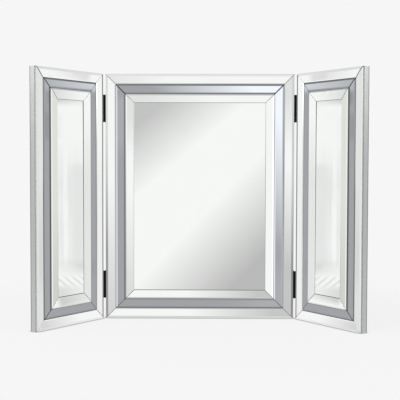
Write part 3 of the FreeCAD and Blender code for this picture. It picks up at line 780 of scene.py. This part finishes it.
# A grey wall, a softbox and a post on the right, then posts and a softbox on the left, which bevels show
seen = hang_card(seen, (21, 0), RIGHT, 9, "#C2C2C8", (20, 37, -91, 30))
seen = hang_card(seen, (37, 0), RIGHT, 2, "#FFFFFF", (37.5, 48, -20, 15), strength=1.3)
seen = hang_card(seen, (0, -1), DOWN, 6, "#929292", (24, 29.6, -12, 6))
seen = hang_card(seen, (-27, 0), LEFT, 1, "#DFDFDF", LEFT_POST)
seen = hang_card(seen, (0, 1.5), DOWN, 7, "#9A9A9A", LEFT_POST)
seen = hang_card(seen, (-30, 0), LEFT, 1.5, "#FAFAFF", (-50, -30, -20, 15), strength=2.3)
seen = hang_card(seen, (-40, 0), LEFT, 0.5, "#FAFAFA", LEFT_SLIT)
seen = hang_card(seen, (0, 1), DOWN, 8, "#CECECE", LEFT_SLIT)
# Grey cards that the taken-off edges of the centre panel's left, right, upper and lower outer strips show
seen = hang_card(seen, (22, 0), RIGHT, 0.5, "#C8C8C8", (22.6, 25.6, -12, 8))
seen = hang_card(seen, (-23, 0), LEFT, 0.5, "#C8C8C8", (-26.8, -23.6, -12, 8))
seen = hang_card(seen, (0, -23), DOWN, 0.5, "#C4C4C4", (-8, 7, -26.6, -23.4))
seen = hang_card(seen, (0, 19), UP, 0.5, "#CCCCCC", (-8, 7, 19.2, 22.4))
# Cards that the sloping faces of its left, right, lower and upper strips show
seen = hang_card(seen, (0, -1), DOWN, 8, "#D9D9D9", (7.5, 14, -11, 7))
seen = hang_card(seen, (0, 0.3), UP, 2.5, "#E8E8E8", (15.5, 20, 0, 7))
seen = hang_card(seen, (0, -2), DOWN, 6, "#E2E2E2", (15.5, 20, -11, 7))
seen = hang_card(seen, (0, 1), UP, 3, "#E6E6E6", (-14, -10, 0, 7))
seen = hang_card(seen, (0, -0.3), DOWN, 6.3, "#CACACA", (-14, -10, -11, 7))
seen = hang_card(seen, (-1.2, 0), RIGHT, 5.2, "#CCCCCC", (-7, 7, 6, 10))
seen = hang_card(seen, (-1.4, 0), RIGHT, 4.6, "#CACACA", (-7, 7, 12, 16))
seen = hang_card(seen, (-2.5, 0), LEFT, 4, "#EAEAEA", (-7, 7, -14, -9.9))
seen = hang_card(seen, (0.3, 0), LEFT, 4.5, "#E8E8E8", (-7, 7, -20.5, -16))
# What its grey strips show: a softbox at the upper right, dimmer ones at the lower right and on the left
seen = hang_card(seen, (0, 0), 38, 5, "#F6F9FD", GREY_VIEW, strength=2.65)
seen = hang_card(seen, (5, -4.2), -45, 2.2, "#FFFFFF", GREY_VIEW, strength=1.12)
seen = hang_card(seen, (0, 0.2), UP, 1.2, "#FFFFFF", (-6.2, -4.95, 0, 4), strength=1.1)
# The screen and the grey flags that its plate shows
seen = hang_card(seen, (-9, 0), RIGHT, 1, "#FDFDFD", PLATE_VIEW)
seen = hang_card(seen, (1.6, 3), 130, 3.4, "#C8C8C8", PLATE_VIEW)
seen = hang_card(seen, (-3.5, -6.6), -44, 4.5, "#BEBEBE", PLATE_VIEW)
# Both sides of the tent: cards that the upright strips of the wings show, on the outer and the hinged side
seen = hang_card(seen, (112, 0), RIGHT, 5, "#E9E9E9", (112, 181, -20, 12), aside)
seen = hang_card(seen, (0, -1), DOWN, 4, "#DCDCDC", FAR_WALL, aside)
seen = hang_card(seen, (0, -7), DOWN, 1.5, "#E6E6E6", FAR_WALL, aside)
seen = hang_card(seen, (120, 0), RIGHT, 1, "#E4E6E0", (120, 181, -20, 12), aside)
seen = hang_card(seen, (0, -2.5), DOWN, 5, "#D6D8D1", (120.4, 126, -12, 8), aside)
seen = hang_card(seen, (125, 0), RIGHT, 9, "#A4A4A4", (125, 181, -91, 91), aside)
seen = hang_card(seen, (0, 3), DOWN, 4, "#EAEBEA", (80, 87.2, -12, 9), aside)
seen = hang_card(seen, (0, 1), DOWN, 2, "#F4F4F4", (87.2, 95, -12, 9), aside)
# What the wings' plates show: cloth with upright folds, a pale screen, and slanting stripes below
side_view = add_node(tree, "ShaderNodeCombineXYZ", {"X": aside, "Y": elevation})
drape = add_node(tree, "ShaderNodeMapping", {"Vector": side_view.outputs[0], "Scale": FOLDS})
gather = add_node(tree, "ShaderNodeTexNoise", {"Vector": drape.outputs[0], "Scale": 1.0, "Detail": 2.5})
folds = add_node(tree, "ShaderNodeMapRange", {
    "Value": gather.outputs["Fac"], "From Min": 0.36, "From Max": 0.62}).outputs["Result"]
slant = add_node(tree, "ShaderNodeMapping", {
    "Vector": side_view.outputs[0], "Rotation": (0, 0, math.radians(STRIPE_TURN))})
bands = add_node(tree, "ShaderNodeTexWave", {
    "Vector": slant.outputs[0], "Scale": 0.95, "Distortion": 0.8, "Detail": 1.0, "Detail Scale": 2.0})
stripes = add_node(tree, "ShaderNodeMapRange", {
    "Value": bands.outputs["Fac"], "From Min": 0.55, "From Max": 0.95}).outputs["Result"]
seen = hang_card(seen, (0, 1.5), DOWN, 3, "#E6E7E8", (*WING_PLATE, -6.5, 1.5), aside, pattern=folds)
seen = hang_card(seen, (103.6, 0), RIGHT, 0.6, "#EBEBEB", (103.7, 105.0, -6.4, -0.2), aside)
seen = hang_card(seen, (0, -6.9), DOWN, 0.3, "#E4E4E2", (*WING_PLATE, -7.8, -7.15), aside, pattern=stripes)
seen = hang_card(seen, (0, -6.2), DOWN, 0.3, "#DADADA", (104.3, 104.7, -6.65, -6.3), aside)
# What their upper and lower strips show
seen = hang_card(seen, (102.6, 0), RIGHT, 2.9, "#E0E0E0", (102.3, 105.25, -7.0, -6.2), aside)
seen = hang_card(seen, (105.2, 0), LEFT, 1.8, "#E2E2E2", (102.9, 105.5, -8.8, -7.8), aside)
seen = hang_card(seen, (103.6, 0), LEFT, 2.6, "#D4D4D4", (100, 103.6, 1.4, 3), aside)
seen = hang_card(seen, (105.6, 0), LEFT, 3, "#CDCFCB", (102.6, 107, 3.6, 4.4), aside)
seen = hang_card(seen, (101.2, 0), RIGHT, 4, "#F5F7FA", (100, 107, 4.4, 7), aside, strength=1.85)
# What their rims and the edges of their boards show: a dimmer ceiling and floor, and a wall lit from above
seen = hang_card(seen, (0, 17), UP, 3, "#E0E0E0", (98, 125, 17, 60), aside)
seen = hang_card(seen, (0, 22), UP, 4, "#B8B8B8", (98, 125, 22, 60), aside)
seen = hang_card(seen, (111, 0), LEFT, 6, "#D8D8D8", (98, 125, -32, -21), aside)
seen = hang_card(seen, (0, 8), DOWN, 12, "#B4B4B4", LIT_WALL, aside)
seen = hang_card(seen, (0, -3), DOWN, 7, "#E8E8E8", LIT_WALL, aside)
seen = hang_card(seen, (0, 1.3), UP, 6, "#FFFFFF", (52, 82.5, 0.5, 40), aside, strength=2.5)
# Bright and dark uprights in that wall, which the narrow bevels of the wings' strips show
seen = hang_card(seen, (60, 0), RIGHT, 1, "#F6F6F6", (63.5, 69.5, -14, 10), aside)
seen = hang_card(seen, (70, 0), RIGHT, 1, "#E6E6E6", (77.4, 80.6, -14, 10), aside)
seen = hang_card(seen, (125, 0), RIGHT, 1, "#8A8A8A", (125.7, 130.5, -14, 10), aside)
seen = hang_card(seen, (0, -2), UP, 2, "#F0F0F0", (130.8, 136, -2, 12), aside)
# A dark corner, which outlines the boards where they round off to the back
seen = hang_card(seen, (143, 0), RIGHT, 3, "#505050", (144, 181, -91, 91), aside)

# The camera sees plain white behind the mirror, the glass sees the cards, and matt surfaces an even tent
ray = add_node(tree, "ShaderNodeLightPath")
shown = add_node(tree, "ShaderNodeMix", {0: ray.outputs["Is Camera Ray"], 6: seen, 7: linear(WHITE)},
                 data_type="RGBA")
sharp = add_node(tree, "ShaderNodeMath", {
    0: ray.outputs["Is Glossy Ray"], 1: ray.outputs["Is Transmission Ray"]}, operation="ADD")
direct = add_node(tree, "ShaderNodeMath", {0: sharp.outputs[0], 1: ray.outputs["Is Camera Ray"]},
                  operation="ADD", use_clamp=True)
tent = add_node(tree, "ShaderNodeBackground", {"Color": linear("#FFFFFF"), "Strength": SOFT_LIGHT})
backdrop = add_node(tree, "ShaderNodeBackground", {"Color": shown.outputs[2], "Strength": 1.0})
chosen = add_node(tree, "ShaderNodeMixShader", {
    0: direct.outputs[0], 1: tent.outputs[0], 2: backdrop.outputs[0]})
add_node(tree, "ShaderNodeOutputWorld", {"Surface": chosen.outputs[0]})

# Two large lamps, hidden from the glass, give the matt surfaces their soft shadows
LAMPS = {
    "key_lamp": {"place": (-1.3, -1.6, 2.2), "size": 1.6, "power": 26.0},
    "fill_lamp": {"place": (1.6, -1.8, 1.6), "size": 1.6, "power": 5.0},
}
middle = Vector((0, 0, panels["center"]["height"] / 2))
for name, lamp in LAMPS.items():
    light = bpy.data.lights.new(name, "AREA")
    light.shape = "DISK"
    light.size = lamp["size"]
    light.energy = lamp["power"]
    stand = bpy.data.objects.new(name, light)
    stand.location = lamp["place"]
    aim = middle - stand.location
    stand.rotation_euler = aim.to_track_quat("-Z", "Y").to_euler()
    stand.visible_glossy = False
    bpy.context.collection.objects.link(stand)

# Camera
# It stands two metres in front of the mirror, a little right of its middle and above it, with a long lens.
# Its place and its angles in degrees were fitted to the corners and edges of the panels.
CAMERA_PLACE = (0.020, -2.016, 0.3473)
PAN = -0.55
TILT_DOWN = 2.41
ROLL = 0.126
LENS = 81.8
SENSOR = 36.0

lens = bpy.data.cameras.new("camera")
lens.lens = LENS
lens.sensor_width = SENSOR
lens.sensor_fit = "HORIZONTAL"
camera = bpy.data.objects.new("camera", lens)
camera.matrix_world = (Matrix.Translation(CAMERA_PLACE) @ Matrix.Rotation(math.radians(-PAN), 4, "Z")
                       @ Matrix.Rotation(math.radians(90 - TILT_DOWN), 4, "X")
                       @ Matrix.Rotation(math.radians(ROLL), 4, "Z"))
bpy.context.collection.objects.link(camera)
bpy.context.scene.camera = camera
bpy.context.scene.view_settings.view_transform = "Standard"
